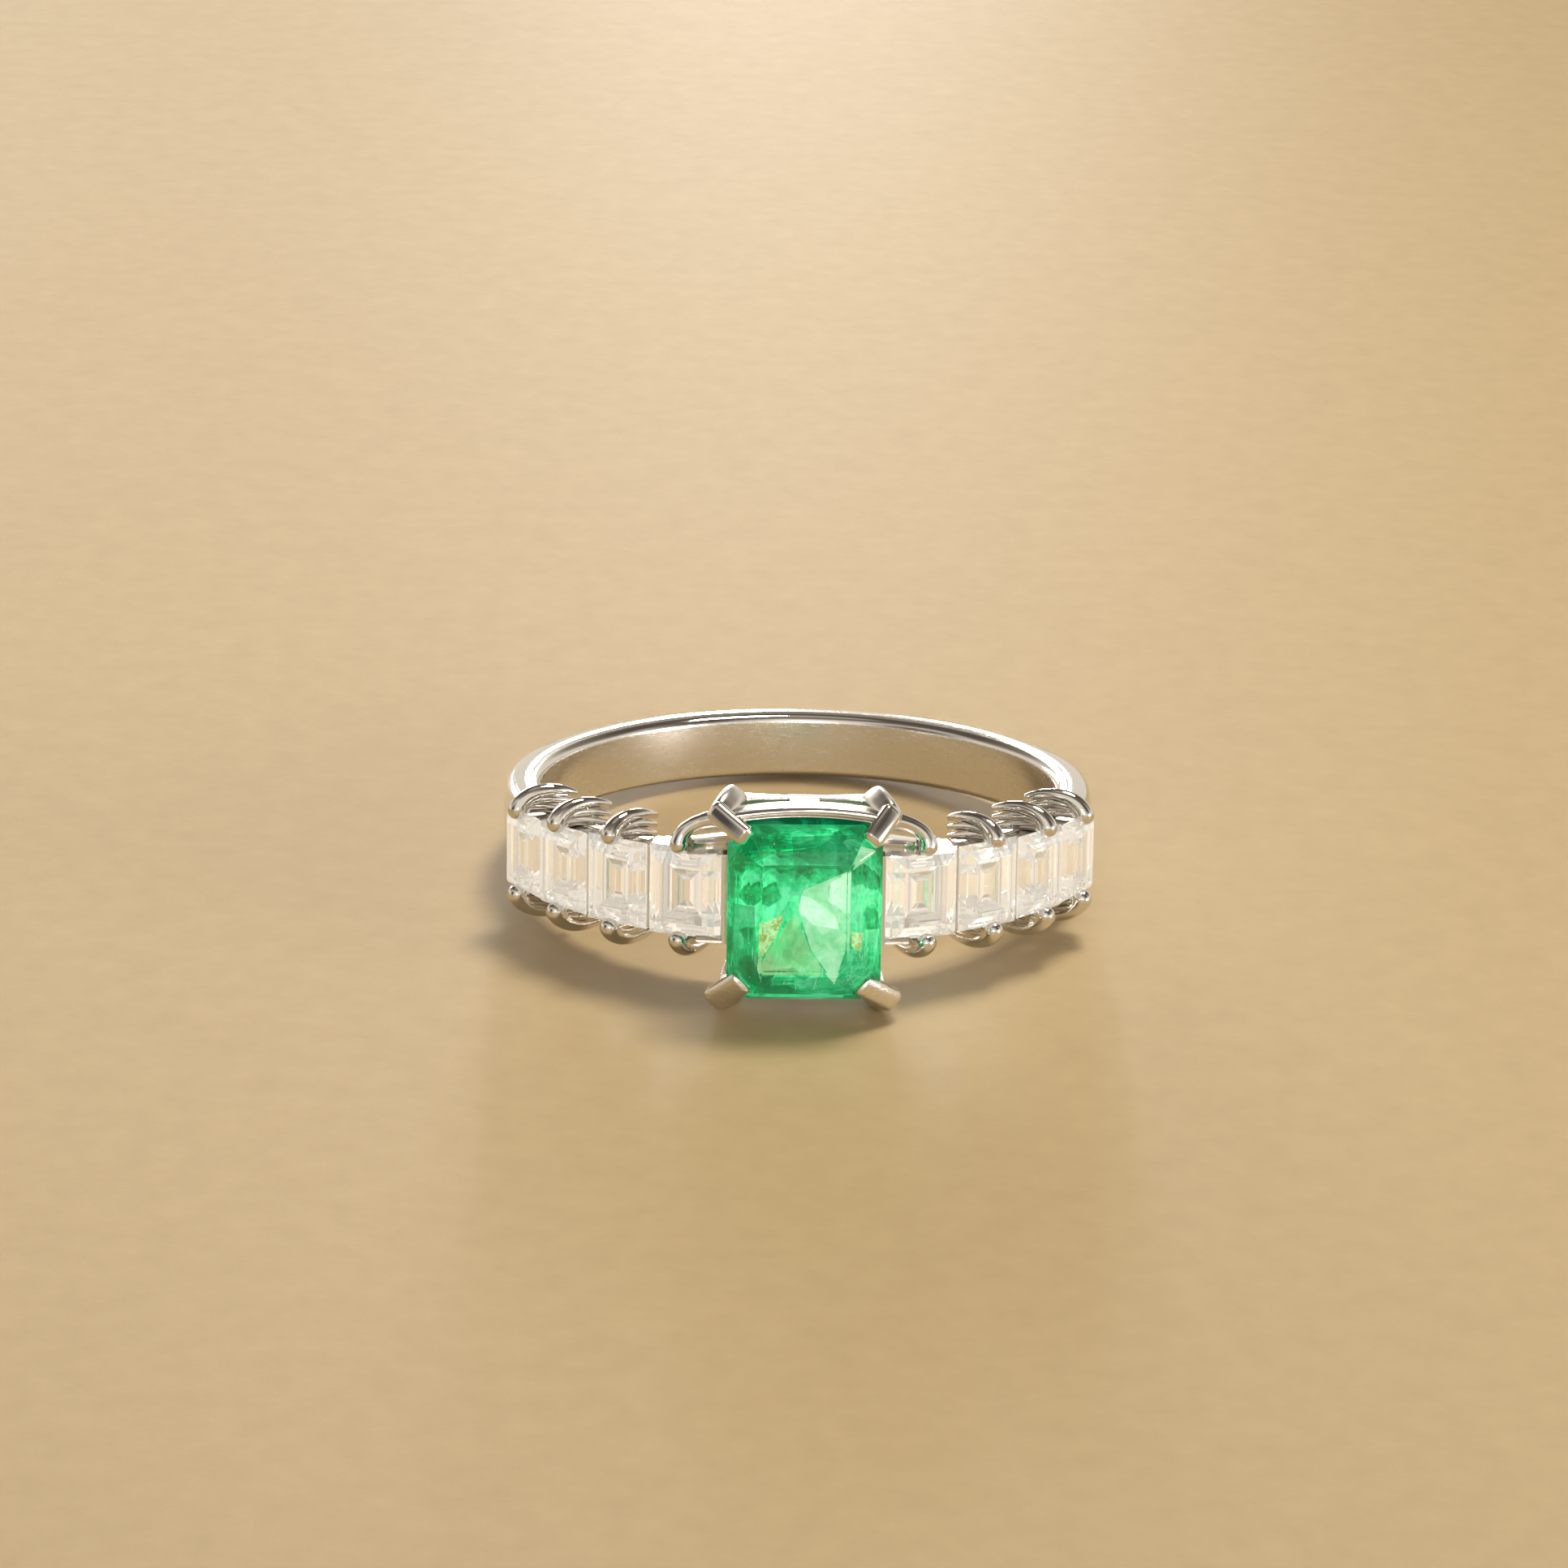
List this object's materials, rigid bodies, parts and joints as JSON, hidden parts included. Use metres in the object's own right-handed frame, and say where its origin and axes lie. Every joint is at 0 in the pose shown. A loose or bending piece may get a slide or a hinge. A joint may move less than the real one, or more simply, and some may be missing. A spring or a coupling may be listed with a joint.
{
  "type": "engagement ring",
  "caption": "Finger ring: rectangular step-cut green stone in a claw head, square step-cut clear stones along both shoulders, plain polished band.",
  "frame": {"origin": "centre of the finger bore", "axes": "+Z along the finger bore; the centre stone faces -Y; +X to the right when looking at the centre stone from the front"},
  "size_m": [0.019, 0.0218, 0.0072],
  "materials": {
    "platinum": "mirror-polished platinum alloy",
    "emerald": "polished green beryl with natural inclusions",
    "diamond": "polished clear colourless stone"
  },
  "bodies": {
    "root": {"bearing_rail_lower": "platinum", "bearing_rail_upper": "platinum", "centre_claw_left_lower": "platinum", "centre_claw_left_upper": "platinum", "centre_claw_right_lower": "platinum", "centre_claw_right_upper": "platinum", "emerald": "emerald", "gallery_pillar_lower": "platinum", "gallery_pillar_upper": "platinum", "gallery_rail_lower": "platinum", "gallery_rail_upper": "platinum", "head_base": "platinum", "head_wall_left": "platinum", "head_wall_right": "platinum", "shank": "platinum", "shoulder_web_left_lower": "platinum", "shoulder_web_left_upper": "platinum", "shoulder_web_right_lower": "platinum", "shoulder_web_right_upper": "platinum", "side_claw_left_1_lower": "platinum", "side_claw_left_1_upper": "platinum", "side_claw_left_2_lower": "platinum", "side_claw_left_2_upper": "platinum", "side_claw_left_3_lower": "platinum", "side_claw_left_3_upper": "platinum", "side_claw_left_4_lower": "platinum", "side_claw_left_4_upper": "platinum", "side_claw_right_1_lower": "platinum", "side_claw_right_1_upper": "platinum", "side_claw_right_2_lower": "platinum", "side_claw_right_2_upper": "platinum", "side_claw_right_3_lower": "platinum", "side_claw_right_3_upper": "platinum", "side_claw_right_4_lower": "platinum", "side_claw_right_4_upper": "platinum", "side_diamond_left_1": "diamond", "side_diamond_left_2": "diamond", "side_diamond_left_3": "diamond", "side_diamond_left_4": "diamond", "side_diamond_right_1": "diamond", "side_diamond_right_2": "diamond", "side_diamond_right_3": "diamond", "side_diamond_right_4": "diamond", "side_seat_left_1": "platinum", "side_seat_left_2": "platinum", "side_seat_left_3": "platinum", "side_seat_left_4": "platinum", "side_seat_right_1": "platinum", "side_seat_right_2": "platinum", "side_seat_right_3": "platinum", "side_seat_right_4": "platinum"}
  },
  "joints": []
}
